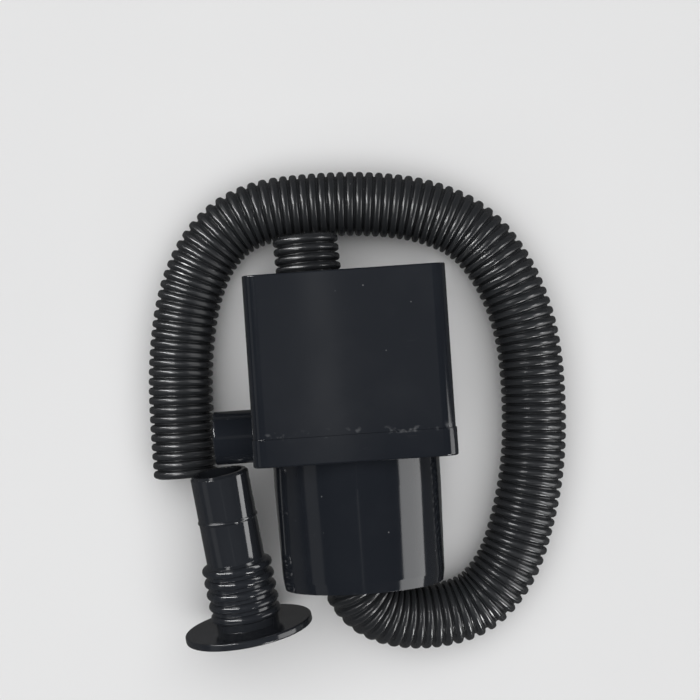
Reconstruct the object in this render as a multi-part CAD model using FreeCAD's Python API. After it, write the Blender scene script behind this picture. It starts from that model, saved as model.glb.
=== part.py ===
import FreeCAD, Part
import math
import os

from FreeCAD import Vector

# Rainwater diverter with its hose and butt connector, lying flat on a floor.
# The body is one moulding: a square socket for the downpipe, a trough round a standpipe,
# a side outlet for the hose, and a round spigot that goes into the lower pipe.
# Millimetres, +Z up. The origin is the middle of the collar's back face, on the floor.
# The pipe's line is parallel to Y, with the socket's mouth towards +Y.

# Downpipe that the diverter is cut into
pipe_size = 68.0
pipe_wall = 2.4
pipe_clearance = 0.3

# Square socket
socket_wall = 2.2
socket_height = 59.0
socket_corner = 5.0
rim_edge = 0.5

# Collar round the trough
collar_step = 0.4
collar_height = 10.0
collar_edge = 0.8
floor_thickness = 2.0

# Standpipe that the water spills over when the butt is full
trough_width = 5.8
standpipe_wall = 1.8
standpipe_freeboard = 10.0
standpipe_edge = 0.5

# Ribs that stop the downpipe above the trough
stop_width = 2.0
stop_depth = 3.0
stop_offset = 10.5
stop_height = 19.0

# Round spigot
spigot_length = 48.0
spigot_land = 10.0
spigot_taper = 0.9
spigot_wall = 1.8
spigot_draft = 0.3
spigot_lead_length = 4.0
spigot_lead_depth = 0.7

# Side outlet
outlet_diameter = 20.0
outlet_wall = 2.2
outlet_length = 16.0
outlet_sill = 0.4
outlet_edge = 0.8
outlet_swell = 0.2
outlet_swell_length = 1.0

# Butt connector
flange_diameter = 49.0
flange_thickness = 2.8
flange_edge = 0.6
tail_diameter = 22.2
tail_length = 60.0
tail_bore = 17.8
tail_edge = 1.0
rib_count = 5
rib_pitch = 4.6
rib_root_diameter = 24.0
rib_height = 1.5
rib_width = 3.4
bead_from_end = 18.0
bead_height = 0.4
bead_width = 1.4

# Where the connector leans on the hose
connector_heading = 6.5
tail_beside_hose = 14.3
tail_below_outlet = 3.0
rest_gap = 0.4

# Hose, and the points that its line turns at, from its end in the socket to its free end
hose_diameter = 25.0
hose_wall = 1.5
bend_share = 0.45
hose_route = [
    (-13.8, 79.5, 27.5),
    (-12.5, 44.0, 28.5),
    (-8.5, 6.0, 27.5),
    (-7.0, -25.0, 25.5),
    (-6.0, -55.0, 23.0),
    (9.0, -70.0, 17.0),
    (40.0, -70.2, 12.5),
    (56.0, -54.5, 12.5),
    (63.8, -34.0, 12.5),
    (69.0, -13.0, 12.5),
    (71.0, 13.0, 12.5),
    (70.0, 38.0, 12.5),
    (63.5, 60.0, 12.5),
    (51.5, 78.0, 12.5),
    (34.0, 87.3, 12.5),
    (13.0, 91.5, 12.5),
    (-11.0, 92.5, 12.5),
    (-34.0, 91.0, 12.5),
    (-50.0, 81.0, 12.5),
    (-60.5, 62.0, 12.5),
    (-65.5, 38.0, 12.5),
    (-67.0, 14.0, 12.5),
    (-66.6, -10.0, 12.5),
]

# How far a cut runs past the face that it opens
overrun = 1.0

# Sizes that follow from those above
socket_inside = pipe_size + 2 * pipe_clearance
socket_outside = socket_inside + 2 * socket_wall
collar_outside = socket_outside + 2 * collar_step
axis_height = collar_outside / 2
collar_top = collar_height / 2
collar_foot = -collar_height / 2
socket_mouth = collar_top + socket_height
floor_top = collar_foot + floor_thickness
outlet_bore = outlet_diameter - 2 * outlet_wall
outlet_y = floor_top + outlet_sill + outlet_bore / 2
standpipe_diameter = socket_inside - 2 * trough_width
standpipe_bore = standpipe_diameter - 2 * standpipe_wall
standpipe_top = outlet_y + outlet_bore / 2 + standpipe_freeboard
spigot_root_radius = pipe_size / 2 - pipe_wall - pipe_clearance
spigot_end_radius = spigot_root_radius - spigot_taper
spigot_end = collar_foot - spigot_length

along_pipe = Vector(0, 1, 0)
down_pipe = Vector(0, -1, 0)
to_outlet = Vector(-1, 0, 0)


def on_axis(y):
    """A point on the pipe's line."""
    return Vector(0, y, axis_height)


def rounded_square(width, corner, low, high):
    """A square bar with round corners, centred on the pipe's line, from low to high along it."""
    half = width / 2
    flat = half - corner
    cut = half - corner * (1 - math.sqrt(0.5))
    edges = []
    for turn in range(4):
        swing = FreeCAD.Rotation(along_pipe, 90 * turn)
        start, middle, end, following = (
            swing.multVec(Vector(x, 0, z)) + on_axis(low)
            for x, z in ((half, flat), (cut, cut), (flat, half), (-flat, half))
        )
        edges.append(Part.Arc(start, middle, end).toShape())
        edges.append(Part.LineSegment(end, following).toShape())
    outline = Part.Wire(Part.__sortEdges__(edges))
    return Part.Face(outline).extrude(along_pipe * (high - low))


def round_bar(radius, low, high):
    """A cylinder on the pipe's line, from low to high along it."""
    return Part.makeCylinder(radius, high - low, on_axis(low), along_pipe)


def rounded_edges(shape, radius, wanted):
    """The shape with the edges that wanted picks rounded."""
    return shape.makeFillet(radius, [edge for edge in shape.Edges if wanted(edge)])


def lies_at(edge, y):
    """Whether an edge lies in the plane across the pipe at y."""
    return abs(edge.BoundBox.YMin - y) < 1e-4 and abs(edge.BoundBox.YMax - y) < 1e-4


def outer_case():
    """The socket's sleeve and the collar, still solid, with the rim and the collar's foot rounded."""
    sleeve = rounded_square(socket_outside, socket_corner, collar_top, socket_mouth)
    sleeve = rounded_edges(sleeve, rim_edge, lambda edge: lies_at(edge, socket_mouth))
    collar = rounded_square(collar_outside, socket_corner + collar_step, collar_foot, collar_top)
    collar = rounded_edges(collar, collar_edge, lambda edge: lies_at(edge, collar_foot))
    return collar.fuse(sleeve)


def spigot_outside():
    """The spigot's parallel land, its taper and the lead-in at its end."""
    land_end = collar_foot - spigot_land
    lead_start = spigot_end + spigot_lead_length
    land = round_bar(spigot_root_radius, land_end, collar_foot)
    taper = Part.makeCone(
        spigot_root_radius, spigot_end_radius, land_end - lead_start, on_axis(land_end), down_pipe
    )
    lead = Part.makeCone(
        spigot_end_radius,
        spigot_end_radius - spigot_lead_depth,
        spigot_lead_length,
        on_axis(lead_start),
        down_pipe,
    )
    return land.fuse([taper, lead])


def spigot_bore():
    """The spigot's inside, a little wider at its mouth."""
    mouth_radius = spigot_end_radius - spigot_wall
    return Part.makeCone(
        mouth_radius, mouth_radius - spigot_draft, spigot_length, on_axis(spigot_end), along_pipe
    )


def standpipe():
    """The standpipe's outside, from the trough's floor up, with its lip rounded."""
    pipe = round_bar(standpipe_diameter / 2, floor_top, standpipe_top)
    return rounded_edges(pipe, standpipe_edge, lambda edge: lies_at(edge, standpipe_top))


def pipe_stops():
    """Two ribs on each wall of the trough, which the downpipe's end lands on."""
    stops = []
    for wall in range(4):
        for side in (-1, 1):
            rib = Part.makeBox(stop_width, stop_height, stop_depth)
            rib.translate(Vector(side * stop_offset - stop_width / 2, floor_top, -socket_inside / 2))
            rib.rotate(Vector(0, 0, 0), along_pipe, 90 * wall)
            rib.translate(on_axis(0))
            stops.append(rib)
    return stops


def outlet():
    """The outlet's outside, with its end rounded and a slight swell at its root that the hose stops on."""
    radius = outlet_diameter / 2
    root = Vector(-socket_inside / 2, outlet_y, axis_height)
    swell_reach = socket_wall + collar_step + outlet_swell_length
    swell = Part.makeCone(radius + outlet_swell, radius, swell_reach, root, to_outlet)
    seat = root + to_outlet * swell_reach
    reach = socket_wall + outlet_length - swell_reach
    stub = Part.makeCylinder(radius, reach, seat, to_outlet)
    tip = seat.x - reach
    stub = rounded_edges(stub, outlet_edge, lambda edge: edge.BoundBox.XMax < tip + 1e-4)
    return stub.fuse(swell)


def outlet_bore_cut():
    """The outlet's bore, which opens from the trough."""
    start = Vector(-socket_inside / 2 + overrun, outlet_y, axis_height)
    reach = socket_wall + outlet_length + 2 * overrun
    return Part.makeCylinder(outlet_bore / 2, reach, start, to_outlet)


def diverter_body():
    """The whole moulding."""
    inner_corner = socket_corner - socket_wall
    cavity = rounded_square(socket_inside, inner_corner, floor_top, socket_mouth + overrun)
    shell = outer_case().fuse(spigot_outside()).cut(cavity)
    shell = shell.fuse([standpipe(), outlet()] + pipe_stops())
    overflow = round_bar(standpipe_bore / 2, collar_foot - overrun, standpipe_top + overrun)
    return shell.cut([spigot_bore(), overflow, outlet_bore_cut()]).removeSplitter()


def connector_outline():
    """Half of the connector's section, by distance from its axis and along it from the flange."""
    tail_radius = tail_diameter / 2
    root_radius = rib_root_diameter / 2
    ribs_foot = flange_thickness + rib_pitch - rib_width / 2
    ribs_head = ribs_foot + (rib_count - 1) * rib_pitch + rib_width
    end = flange_thickness + tail_length
    bead_low = end - bead_from_end - bead_width / 2
    edges = []
    at = [Vector(tail_bore / 2, 0, 0)]

    def line_to(radius, along):
        edges.append(Part.LineSegment(at[-1], Vector(radius, 0, along)).toShape())
        at.append(Vector(radius, 0, along))

    def bulge_to(height, along):
        middle = Vector(at[-1].x + height, 0, (at[-1].z + along) / 2)
        edges.append(Part.Arc(at[-1], middle, Vector(at[-1].x, 0, along)).toShape())
        at.append(Vector(at[-1].x, 0, along))

    line_to(flange_diameter / 2, 0)
    line_to(flange_diameter / 2, flange_thickness)
    line_to(root_radius, flange_thickness)
    for number in range(rib_count):
        low = ribs_foot + number * rib_pitch
        line_to(root_radius, low)
        bulge_to(rib_height, low + rib_width)
    line_to(tail_radius, ribs_head + root_radius - tail_radius)
    line_to(tail_radius, bead_low)
    bulge_to(bead_height, bead_low + bead_width)
    line_to(tail_radius, end - tail_edge)
    line_to(tail_radius - tail_edge, end)
    line_to(tail_bore / 2, end)
    line_to(tail_bore / 2, 0)
    return Part.Wire(edges)


def connector_upright():
    """The connector standing on its flange."""
    spin = Part.Face(connector_outline()).revolve(Vector(0, 0, 0), Vector(0, 0, 1), 360)
    rim = flange_diameter / 2
    return rounded_edges(spin, flange_edge, lambda edge: edge.BoundBox.XMax > rim - 1e-4 and edge.Closed)


def tail_end_height():
    """How high the middle of the tail's end lies when the tail rests on the hose's side."""
    reach = (hose_diameter + tail_diameter) / 2 + rest_gap
    return hose_diameter / 2 + math.sqrt(reach**2 - tail_beside_hose**2)


def lean_angle():
    """How far the tail is raised, with the flange's rounded rim on the floor and the tail on the hose."""
    across = flange_diameter / 2 - flange_edge
    along = flange_thickness - flange_edge + tail_length
    rise = tail_end_height() - flange_edge
    return math.atan2(along, across) - math.acos(rise / math.hypot(along, across))


def hose_connector():
    """The connector where it lies, beside the outlet and leaning on the hose's free end."""
    lean = lean_angle()
    heading = math.radians(connector_heading)
    direction = Vector(
        -math.sin(heading) * math.cos(lean), math.cos(heading) * math.cos(lean), math.sin(lean)
    )
    tail_end = Vector(
        hose_route[-1][0] + tail_beside_hose,
        outlet_y - outlet_diameter / 2 - tail_below_outlet,
        tail_end_height(),
    )
    turn = FreeCAD.Rotation(Vector(0, 0, 1), direction)
    placed = connector_upright()
    placed.Placement = FreeCAD.Placement(tail_end - direction * (flange_thickness + tail_length), turn)
    return placed


def hose_line():
    """The hose's line: straight runs joined by arcs, with the radius of each arc."""
    points = [Vector(*point) for point in hose_route]
    edges = []
    radii = []
    at = points[0]
    for before, corner, after in zip(points, points[1:], points[2:]):
        back = before - corner
        ahead = after - corner
        trim = bend_share * min(back.Length, ahead.Length)
        half_turn = (math.pi - back.getAngle(ahead)) / 2
        radius = trim / math.tan(half_turn)
        back.normalize()
        ahead.normalize()
        inward = back + ahead
        inward.normalize()
        start = corner + back * trim
        end = corner + ahead * trim
        middle = corner + inward * (radius / math.cos(half_turn) - radius)
        edges.append(Part.LineSegment(at, start).toShape())
        edges.append(Part.Arc(start, middle, end).toShape())
        radii.append(radius)
        at = end
    edges.append(Part.LineSegment(at, points[-1]).toShape())
    return Part.Wire(edges), radii


def hose_sweep(line, diameter):
    """A round bar that follows the hose's line."""
    start = Vector(*hose_route[0])
    heading = Vector(*hose_route[1]) - start
    ring = Part.Wire(Part.Circle(start, heading, diameter / 2).toShape())
    return line.makePipeShell([ring], True, False)


def hose():
    """The hose as a plain tube, with its bends and volume printed."""
    line, radii = hose_line()
    inside = hose_diameter - 2 * hose_wall
    tube = hose_sweep(line, hose_diameter).cut(hose_sweep(line, inside))
    section = math.pi * (hose_diameter**2 - inside**2) / 4
    print("hose length", round(line.Length, 1), "mm")
    print("hose volume over section times length", tube.Volume / section / line.Length)
    print("hose radii", [round(radius, 1) for radius in radii])
    return tube


os.makedirs("parts", exist_ok=True)
for make in (diverter_body, hose, hose_connector):
    solid = make()
    print(make.__name__, "valid", solid.isValid(), "solids", len(solid.Solids), "mm3", round(solid.Volume))
    solid.exportStep("parts/" + make.__name__ + ".step")
print("connector raised by", round(math.degrees(lean_angle()), 2), "degrees")
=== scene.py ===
import bisect
import math

import bmesh
import bpy
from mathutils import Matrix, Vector


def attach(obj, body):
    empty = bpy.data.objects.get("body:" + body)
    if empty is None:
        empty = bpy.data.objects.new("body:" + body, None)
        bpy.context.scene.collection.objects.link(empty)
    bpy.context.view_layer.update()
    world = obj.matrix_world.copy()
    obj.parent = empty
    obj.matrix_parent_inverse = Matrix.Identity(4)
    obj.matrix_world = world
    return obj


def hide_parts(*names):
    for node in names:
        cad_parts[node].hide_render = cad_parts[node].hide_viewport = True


# Rainwater diverter laid flat with its corrugated hose and butt connector, seen from straight above.
# Metres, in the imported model's own frame.

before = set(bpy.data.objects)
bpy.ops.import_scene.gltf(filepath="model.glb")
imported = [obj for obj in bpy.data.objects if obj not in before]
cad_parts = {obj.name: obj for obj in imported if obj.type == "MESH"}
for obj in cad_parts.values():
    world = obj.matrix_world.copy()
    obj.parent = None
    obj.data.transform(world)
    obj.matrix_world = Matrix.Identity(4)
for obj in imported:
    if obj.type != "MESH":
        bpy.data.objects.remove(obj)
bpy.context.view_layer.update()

# Camera, looking straight down
IMAGE_WIDTH_PX = 700
FOCAL_PX = 1762
SENSOR_WIDTH_MM = 36
CAMERA_PLACE = (0.0005, 0.035, 0.700)
CAMERA_TURN_DEG = -3.9

# Hose: the points that its line bends by, from its end in the socket to its free end
HOSE_ROUTE = [
    (-0.0138, 0.0795, 0.0275),
    (-0.0125, 0.0440, 0.0285),
    (-0.0085, 0.0060, 0.0275),
    (-0.0070, -0.0250, 0.0255),
    (-0.0060, -0.0550, 0.0230),
    (0.0090, -0.0700, 0.0170),
    (0.0400, -0.0702, 0.0125),
    (0.0560, -0.0545, 0.0125),
    (0.0638, -0.0340, 0.0125),
    (0.0690, -0.0130, 0.0125),
    (0.0710, 0.0130, 0.0125),
    (0.0700, 0.0380, 0.0125),
    (0.0635, 0.0600, 0.0125),
    (0.0515, 0.0780, 0.0125),
    (0.0340, 0.0873, 0.0125),
    (0.0130, 0.0915, 0.0125),
    (-0.0110, 0.0925, 0.0125),
    (-0.0340, 0.0910, 0.0125),
    (-0.0500, 0.0810, 0.0125),
    (-0.0605, 0.0620, 0.0125),
    (-0.0655, 0.0380, 0.0125),
    (-0.0670, 0.0140, 0.0125),
    (-0.0666, -0.0100, 0.0125),
]
HOSE_DIAMETER = 0.025
HOSE_STEPS_PER_BEND = 1024

# Hose's corrugation; a bend is measured over the window's points on each side
RIB_PITCH = 0.00355
GROOVE_DEPTH = 0.0017
HOSE_WALL = 0.0005
RIB_SLIMNESS = 1.15
RIB_SQUARENESS = 2.8
RIB_ROUNDNESS = 0.5
GROOVE_OPENING = 0.4
RIB_STEPS = 12
RIB_SPREAD = 0.9
HOSE_SIDES = 44
BEND_WINDOW = 48

# Step between the socket and the collar, and how its pale marks fade along its edges: partly scuff marks,
# partly a painted highlight on the ledge
LEDGE_Y = 0.005
COLLAR_HALF = 0.0369
SCUFF_AND_HIGHLIGHT_LOW_EDGE = (-0.0008, -0.0002)
SCUFF_AND_HIGHLIGHT_HIGH_EDGE = (0.0006, 0.0030)
SCUFF_AND_HIGHLIGHT_CORNER = 0.0005

# Colours: each plain, then a second one for dust, or for the paper's uneven tone; the body's second one
# also gives scuff marks and a painted highlight along the ledge
BODY_TONE = (0.0135, 0.0157, 0.0204)
BODY_DUST_AND_LEDGE_HIGHLIGHT = (0.2, 0.205, 0.215)
HOSE_TONE = (0.0240, 0.0254, 0.0278)
HOSE_DUST = (0.16, 0.16, 0.165)
CONNECTOR_TONE = (0.0214, 0.0236, 0.0282)
CONNECTOR_DUST = (0.16, 0.165, 0.17)
PAPER_TONE = (0.82, 0.82, 0.82)
PAPER_SHADE = (0.78, 0.78, 0.785)

# Surface
WAVE_HEIGHT = 0.0002
GRAIN_HEIGHT = 0.00002
MOULDED_EDGE = 0.0003
HOSE_EDGE = 0.0002
SCRATCHES_PER_METRE = (40, 700, 700)
SCRATCH_TILT = (0.3, 0.2)

# Light
LIGHT_AIM = (0, 0.01, 0.03)
LIGHT_DISTANCE = 0.9
OVERHEAD_DISTANCE = 3.6
HOSE_STRIP_AIM = (-0.0605, 0.042, 0.0233)
HOSE_STRIP_DISTANCE = 0.0225
TAIL_STRIP_AIM = (-0.0434, -0.0255, 0.0383)
TAIL_STRIP_DISTANCE = 0.010
ROOM_ABOVE = 0.002
ROOM_BELOW = 0.1

# Floor
FLOOR_HALF_WIDTH = 3.0
FLOOR_GAP = 0.0002


def hose_line():
    """The points of the hose's centreline, read from the smooth spline that its route bends."""
    curve = bpy.data.curves.new("hose_line", "CURVE")
    curve.dimensions = "3D"
    spline = curve.splines.new("NURBS")
    spline.points.add(len(HOSE_ROUTE) - 1)
    for point, place in zip(spline.points, HOSE_ROUTE):
        point.co = (*place, 1)
    spline.order_u = 3
    spline.use_endpoint_u = True
    spline.resolution_u = HOSE_STEPS_PER_BEND
    holder = bpy.data.objects.new("hose_line", curve)
    bpy.context.scene.collection.objects.link(holder)
    bpy.context.view_layer.update()
    mesh = bpy.data.meshes.new_from_object(holder)
    points = [vertex.co.copy() for vertex in mesh.vertices]
    bpy.data.objects.remove(holder)
    bpy.data.meshes.remove(mesh)
    return points


def directions_along(points):
    """The way that a line heads at each of its points."""
    last = len(points) - 1
    return [(points[min(at + 1, last)] - points[max(at - 1, 0)]).normalized() for at in range(last + 1)]


def distances_along(points):
    """How far along a line each of its points is."""
    travelled = [0]
    for first, second in zip(points, points[1:]):
        travelled.append(travelled[-1] + (second - first).length)
    return travelled


def untwisted_sides(directions):
    """For each point of a line, one direction across it, turned no more than the line itself turns."""
    across = directions[0].orthogonal()
    sides = []
    for ahead in directions:
        across = (across - ahead * across.dot(ahead)).normalized()
        sides.append(across)
    return sides


def bend_at(at, directions, travelled):
    """The line's bend at a point: a vector towards the middle of the bend, one over its radius long."""
    before = max(at - BEND_WINDOW, 0)
    after = min(at + BEND_WINDOW, len(directions) - 1)
    return (directions[after] - directions[before]) / (travelled[after] - travelled[before])


def rib_place(step):
    """Where a step lies across one pitch, from -1 to 1.

    The first step lies in the groove and the rest over the rib."""
    if step == 0:
        return -1
    return RIB_SPREAD * math.sin(math.pi * ((step - 1) / (RIB_STEPS - 2) - 0.5))


def rib_swell(place, stretch):
    """How full a rib is, 1 on its crest and 0 in the groove.

    Where a bend stretches the wall, the groove opens more than the rib widens."""
    opened = 1 + GROOVE_OPENING * max(stretch - 1, 0)
    reach = min(abs(place) * RIB_SLIMNESS * opened, 1)
    return (1 - reach**RIB_SQUARENESS) ** RIB_ROUNDNESS


def bridge(bm, unrolled, first_ring, second_ring):
    """Four-sided faces between two rings of corners, unrolled so that the way round is known."""
    sides = len(first_ring)
    for side in range(sides):
        beyond = (side + 1) % sides
        corners = (first_ring[side], first_ring[beyond], second_ring[beyond], second_ring[side])
        face = bm.faces.new(corners)
        for loop, corner in zip(face.loops, ((0, 0), (1, 0), (1, 1), (0, 1))):
            loop[unrolled].uv = ((side + corner[0]) / sides, corner[1])


def corrugated_hose(points):
    """The hose's ribbed wall and its plain inside, open at both ends."""
    directions = directions_along(points)
    travelled = distances_along(points)
    sides = untwisted_sides(directions)
    ribs = round(travelled[-1] / RIB_PITCH)
    pitch = travelled[-1] / ribs
    crest = HOSE_DIAMETER / 2
    valley = crest - GROOVE_DEPTH
    bore = valley - HOSE_WALL
    turns = [2 * math.pi * side / HOSE_SIDES for side in range(HOSE_SIDES)]
    bm = bmesh.new()
    unrolled = bm.loops.layers.uv.new("unrolled")
    outer_rings = []
    inner_rings = []
    for step in range(ribs * RIB_STEPS + 1):
        place = rib_place(step % RIB_STEPS)
        distance = (step // RIB_STEPS + 0.5 + place / 2) * pitch
        at = min(bisect.bisect_left(travelled, distance), len(points) - 1)
        across = sides[at]
        beside = directions[at].cross(across)
        bend = bend_at(at, directions, travelled)
        spokes = [across * math.cos(turn) + beside * math.sin(turn) for turn in turns]
        ring = []
        for spoke in spokes:
            radius = valley + GROOVE_DEPTH * rib_swell(place, 1 - crest * bend.dot(spoke))
            ring.append(bm.verts.new(points[at] + spoke * radius))
        outer_rings.append(ring)
        if step % RIB_STEPS == 0:
            inner_rings.append([bm.verts.new(points[at] + spoke * bore) for spoke in spokes])
    for rings in (outer_rings, inner_rings):
        for first_ring, second_ring in zip(rings, rings[1:]):
            bridge(bm, unrolled, first_ring, second_ring)
    bridge(bm, unrolled, outer_rings[0], inner_rings[0])
    bridge(bm, unrolled, outer_rings[-1], inner_rings[-1])
    bmesh.ops.recalc_face_normals(bm, faces=bm.faces)
    mesh = bpy.data.meshes.new("corrugated_hose")
    bm.to_mesh(mesh)
    bm.free()
    mesh.shade_smooth()
    piece = bpy.data.objects.new("corrugated_hose", mesh)
    bpy.context.scene.collection.objects.link(piece)
    return piece


def add_node(tree, kind, options=None, **inputs):
    """Adds a shader node, sets its options, and fills or joins its inputs by name."""
    made = tree.nodes.new(kind)
    for name, value in (options or {}).items():
        setattr(made, name, value)
    for name, value in inputs.items():
        socket = made.inputs[name.replace("_", " ")]
        if isinstance(value, bpy.types.NodeSocket):
            tree.links.new(value, socket)
        else:
            socket.default_value = value
    return made


def new_material(name):
    """A material with its shader, and the place on the object in metres."""
    material = bpy.data.materials.new(name)
    material.use_nodes = True
    tree = material.node_tree
    shader = tree.nodes["Principled BSDF"]
    place = add_node(tree, "ShaderNodeTexCoord").outputs["Object"]
    return material, tree, shader, place


def ramp(tree, value, low, high, start=0.0, end=1.0):
    """A value from start to end as another goes from low to high, held at both ends."""
    made = add_node(
        tree, "ShaderNodeMapRange", Value=value, From_Min=low, From_Max=high, To_Min=start, To_Max=end
    )
    return made.outputs["Result"]


def product(tree, first, second):
    """Two masks multiplied."""
    made = tree.nodes.new("ShaderNodeMath")
    made.operation = "MULTIPLY"
    tree.links.new(first, made.inputs[0])
    tree.links.new(second, made.inputs[1])
    return made.outputs["Value"]


def strongest(tree, first, *others):
    """The strongest of several masks."""
    for other in others:
        made = tree.nodes.new("ShaderNodeMath")
        made.operation = "MAXIMUM"
        tree.links.new(first, made.inputs[0])
        tree.links.new(other, made.inputs[1])
        first = made.outputs["Value"]
    return first


def cloud(tree, place, per_metre, detail=3.0):
    """Soft uneven patches."""
    made = add_node(tree, "ShaderNodeTexNoise", Vector=place, Scale=per_metre, Detail=detail)
    return made.outputs["Fac"]


def specks(tree, place, per_metre, spared):
    """Small round specks of dust, in the cells that aren't spared."""
    cells = add_node(tree, "ShaderNodeTexVoronoi", Vector=place, Scale=per_metre)
    dots = ramp(tree, cells.outputs["Distance"], 0.05, 0.1, 1.0, 0.0)
    chance = add_node(tree, "ShaderNodeSeparateColor", Color=cells.outputs["Color"]).outputs["Red"]
    return product(tree, dots, ramp(tree, chance, spared, spared + 0.02))


def scratches(tree, place, turn, spared):
    """Fine scratches, broken into short lengths."""
    laid = add_node(
        tree, "ShaderNodeMapping", Vector=place, Rotation=(*SCRATCH_TILT, turn), Scale=SCRATCHES_PER_METRE
    ).outputs["Vector"]
    cells = add_node(
        tree, "ShaderNodeTexVoronoi", {"feature": "DISTANCE_TO_EDGE"}, Vector=laid, Scale=1.0
    )
    lines = ramp(tree, cells.outputs["Distance"], 0.01, 0.04, 1.0, 0.0)
    return product(tree, lines, ramp(tree, cloud(tree, place, 120), spared, spared + 0.05))


def ledge_scuffs_and_highlight(tree, place):
    """Pale marks along the step between the socket and the collar: partly scuff marks, partly a painted
    highlight on the ledge.
    """
    parts = add_node(tree, "ShaderNodeSeparateXYZ", Vector=place).outputs
    low_start, low_end = [LEDGE_Y + offset for offset in SCUFF_AND_HIGHLIGHT_LOW_EDGE]
    high_start, high_end = [LEDGE_Y + offset for offset in SCUFF_AND_HIGHLIGHT_HIGH_EDGE]
    below = ramp(tree, parts["Y"], low_start, low_end)
    above = ramp(tree, parts["Y"], high_start, high_end, 1.0, 0.0)
    inside = ramp(tree, parts["X"], -COLLAR_HALF - SCUFF_AND_HIGHLIGHT_CORNER, -COLLAR_HALF)
    patches = ramp(tree, cloud(tree, place, 260, 6.0), 0.55, 0.67, 0.0, 0.5)
    return product(tree, product(tree, below, above), product(tree, inside, patches))


def tinted(tree, shader, plain, second_colour, share):
    """Colours the shader from plain to a second colour by a mask."""
    mix = add_node(tree, "ShaderNodeMix", {"data_type": "RGBA"})
    for socket in mix.inputs:
        if socket.type == "RGBA":
            socket.default_value = (*(plain if socket.name == "A" else second_colour), 1)
    tree.links.new(share, mix.inputs["Factor"])
    colour = next(socket for socket in mix.outputs if socket.type == "RGBA")
    tree.links.new(colour, shader.inputs["Base Color"])


def dented(tree, shader, height, distance, edge):
    """Gives the shader a bumpy surface, over edges softened to a radius."""
    soft = add_node(tree, "ShaderNodeBevel", {"samples": 4}, Radius=edge).outputs["Normal"]
    bump = add_node(tree, "ShaderNodeBump", Height=height, Distance=distance, Strength=1.0, Normal=soft)
    tree.links.new(bump.outputs["Normal"], shader.inputs["Normal"])


def body_plastic():
    """Glossy black moulded plastic, with dust, fine scratches, faint haze, and scuff marks with a painted
    highlight along the ledge.
    """
    material, tree, shader, place = new_material("body_plastic")
    haze = ramp(tree, cloud(tree, place, 45), 0.5, 0.8, 0.0, 0.02)
    dust = specks(tree, place, 300, 0.95)
    lines = ramp(tree, scratches(tree, place, 0.9, 0.66), 0.0, 1.0, 0.0, 0.03)
    # pale scuff marks along the ledge, partly a painted highlight on its edge
    scuffs_and_highlight = ledge_scuffs_and_highlight(tree, place)
    marks_and_ledge_highlight = strongest(tree, haze, dust, lines, scuffs_and_highlight)
    tinted(tree, shader, BODY_TONE, BODY_DUST_AND_LEDGE_HIGHLIGHT, marks_and_ledge_highlight)
    roughness = ramp(tree, cloud(tree, place, 30), 0.35, 0.75, 0.08, 0.13)
    tree.links.new(roughness, shader.inputs["Roughness"])
    dented(tree, shader, cloud(tree, place, 20, 1.0), WAVE_HEIGHT, MOULDED_EDGE)
    return material


def hose_plastic():
    """Satin black extruded plastic, with its gloss drawn out round the hose and dust in places."""
    material, tree, shader, place = new_material("hose_plastic")
    haze = ramp(tree, cloud(tree, place, 60), 0.5, 0.85, 0.0, 0.03)
    dust = specks(tree, place, 400, 0.96)
    tinted(tree, shader, HOSE_TONE, HOSE_DUST, strongest(tree, haze, dust))
    roughness = ramp(tree, cloud(tree, place, 90), 0.3, 0.8, 0.17, 0.22)
    tree.links.new(roughness, shader.inputs["Roughness"])
    round_it = add_node(tree, "ShaderNodeTangent", {"direction_type": "UV_MAP", "uv_map": "unrolled"})
    shader.inputs["Anisotropic"].default_value = 0.95
    tree.links.new(round_it.outputs["Tangent"], shader.inputs["Tangent"])
    dented(tree, shader, cloud(tree, place, 900), GRAIN_HEIGHT, HOSE_EDGE)
    return material


def connector_plastic():
    """Glossy black moulded plastic, a little duller than the body."""
    material, tree, shader, place = new_material("connector_plastic")
    haze = ramp(tree, cloud(tree, place, 70), 0.5, 0.8, 0.0, 0.03)
    dust = specks(tree, place, 400, 0.95)
    tinted(tree, shader, CONNECTOR_TONE, CONNECTOR_DUST, strongest(tree, haze, dust))
    roughness = ramp(tree, cloud(tree, place, 60), 0.35, 0.75, 0.09, 0.17)
    tree.links.new(roughness, shader.inputs["Roughness"])
    dented(tree, shader, cloud(tree, place, 60, 1.0), WAVE_HEIGHT, MOULDED_EDGE)
    return material


def floor_paper():
    """Plain pale paper."""
    material, tree, shader, place = new_material("floor_paper")
    tinted(tree, shader, PAPER_TONE, PAPER_SHADE, cloud(tree, place, 6))
    shader.inputs["Roughness"].default_value = 0.7
    shader.inputs["Specular IOR Level"].default_value = 0
    return material


def soft_panel(
    name, heading_deg, rise_deg, width, height, radiance,
    aim=LIGHT_AIM, distance=LIGHT_DISTANCE, mirrored=True, shading=True, only=None,
):
    """A soft light that faces its aim and lights everything, or only the one object given.

    A mirrored one shows in gloss. A shading one casts light and shade."""
    light = bpy.data.lights.new(name, "AREA")
    light.shape = "ELLIPSE" if height > 2 * width else "RECTANGLE"
    light.size = width
    light.size_y = height
    light.energy = radiance * math.pi * width * height
    heading = math.radians(heading_deg)
    rise = math.radians(rise_deg)
    way = Vector(
        (math.cos(heading) * math.cos(rise), math.sin(heading) * math.cos(rise), math.sin(rise))
    )
    holder = bpy.data.objects.new(name, light)
    holder.location = Vector(aim) + way * distance
    holder.rotation_euler = (-way).to_track_quat("-Z", "Y").to_euler()
    holder.visible_glossy = mirrored
    holder.visible_diffuse = shading
    holder.visible_camera = False
    if only:
        lit = bpy.data.collections.new(name)
        lit.objects.link(only)
        holder.light_linking.receiver_collection = lit
    bpy.context.scene.collection.objects.link(holder)


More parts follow.
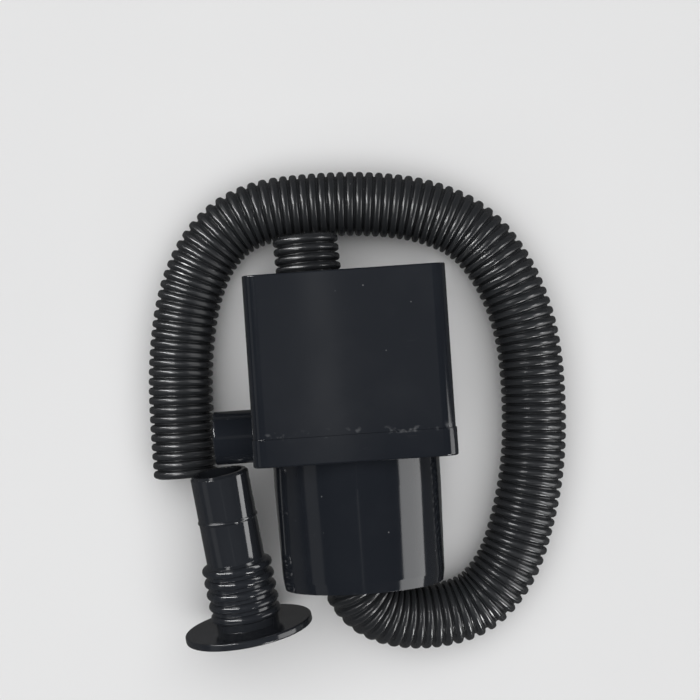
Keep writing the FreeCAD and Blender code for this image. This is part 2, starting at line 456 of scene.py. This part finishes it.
def make_light(hose):
    """Panels that show in the gloss round the set, and one overhead that lights the floor.

    Two panels light the hose alone. Two strips stand close to the hose and the connector's tail.
    Each has its heading and rise in degrees, its width and height in metres, and its radiance."""
    soft_panel("right_panel", -20, 14, 0.56, 0.62, 3.2, shading=False)
    soft_panel("left_panel", 152, 39, 0.12, 1.15, 24, shading=False)
    soft_panel("back_panel", 122, 28, 0.12, 0.8, 3, shading=False)
    soft_panel("front_right_panel", -58, 17, 0.12, 0.66, 18, shading=False)
    soft_panel(
        "hose_strip", 0, 30, 0.048, 0.022, 1.2, HOSE_STRIP_AIM, HOSE_STRIP_DISTANCE, shading=False
    )
    soft_panel("hose_left_panel", 180, 55, 0.36, 0.15, 12, shading=False, only=hose)
    soft_panel("hose_right_panel", 0, 32, 0.36, 0.15, 14, shading=False, only=hose)
    soft_panel(
        "tail_strip", 6.5, 13, 0.036, 0.005, 5.5, TAIL_STRIP_AIM, TAIL_STRIP_DISTANCE, shading=False
    )
    soft_panel("low_left_panel", 180, 24, 1.2, 0.32, 0.25)
    soft_panel("overhead_strip", 180, 88.6, 1.2, 0.024, 0.4)
    soft_panel("box_panel", 90, 86.7, 0.34, 0.196, 0.14, shading=False)
    soft_panel("overhead", 0, 90, 6.4, 6.4, 1.95, distance=OVERHEAD_DISTANCE, mirrored=False)
    bpy.context.scene.view_settings.view_transform = "Standard"


def make_room():
    """A room that is dim below eye level and dark above."""
    world = bpy.data.worlds.new("world")
    bpy.context.scene.world = world
    world.use_nodes = True
    tree = world.node_tree
    way = add_node(tree, "ShaderNodeTexCoord").outputs["Generated"]
    height = add_node(tree, "ShaderNodeSeparateXYZ", Vector=way).outputs["Z"]
    background = tree.nodes["Background"]
    background.inputs["Color"].default_value = (1, 1, 1, 1)
    strength = ramp(tree, height, -0.15, 0.05, ROOM_BELOW, ROOM_ABOVE)
    tree.links.new(strength, background.inputs["Strength"])


def make_camera():
    """The camera straight above the set, turned to the photograph's tilt."""
    camera = bpy.data.cameras.new("camera")
    camera.sensor_width = SENSOR_WIDTH_MM
    camera.lens = SENSOR_WIDTH_MM * FOCAL_PX / IMAGE_WIDTH_PX
    holder = bpy.data.objects.new("camera", camera)
    holder.location = CAMERA_PLACE
    holder.rotation_euler = (0, 0, math.radians(CAMERA_TURN_DEG))
    bpy.context.scene.collection.objects.link(holder)
    bpy.context.scene.camera = holder


def make_floor():
    """A plain pale floor, kept out of the glossy surfaces."""
    half = FLOOR_HALF_WIDTH
    mesh = bpy.data.meshes.new("floor")
    corners = [(-half, -half, 0), (half, -half, 0), (half, half, 0), (-half, half, 0)]
    mesh.from_pydata(corners, [], [(0, 1, 2, 3)])
    floor = bpy.data.objects.new("floor", mesh)
    floor.location.z = -FLOOR_GAP
    bpy.context.scene.collection.objects.link(floor)
    floor.data.materials.append(floor_paper())
    floor.visible_glossy = False


def make_hose():
    """The hose, hung on the root body in place of the imported hose, and handed back to be lit."""
    line = hose_line()
    hose = corrugated_hose(line)
    hose.data.materials.append(hose_plastic())
    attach(hose, "root")
    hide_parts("hose")
    return hose


def finish_node(name, material):
    """Gives a CAD node its finished material."""
    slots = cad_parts[name].data.materials
    slots.clear()
    slots.append(material)


make_camera()
laid_hose = make_hose()
finish_node("diverter_body", body_plastic())
finish_node("hose_connector", connector_plastic())
make_floor()
make_light(laid_hose)
make_room()
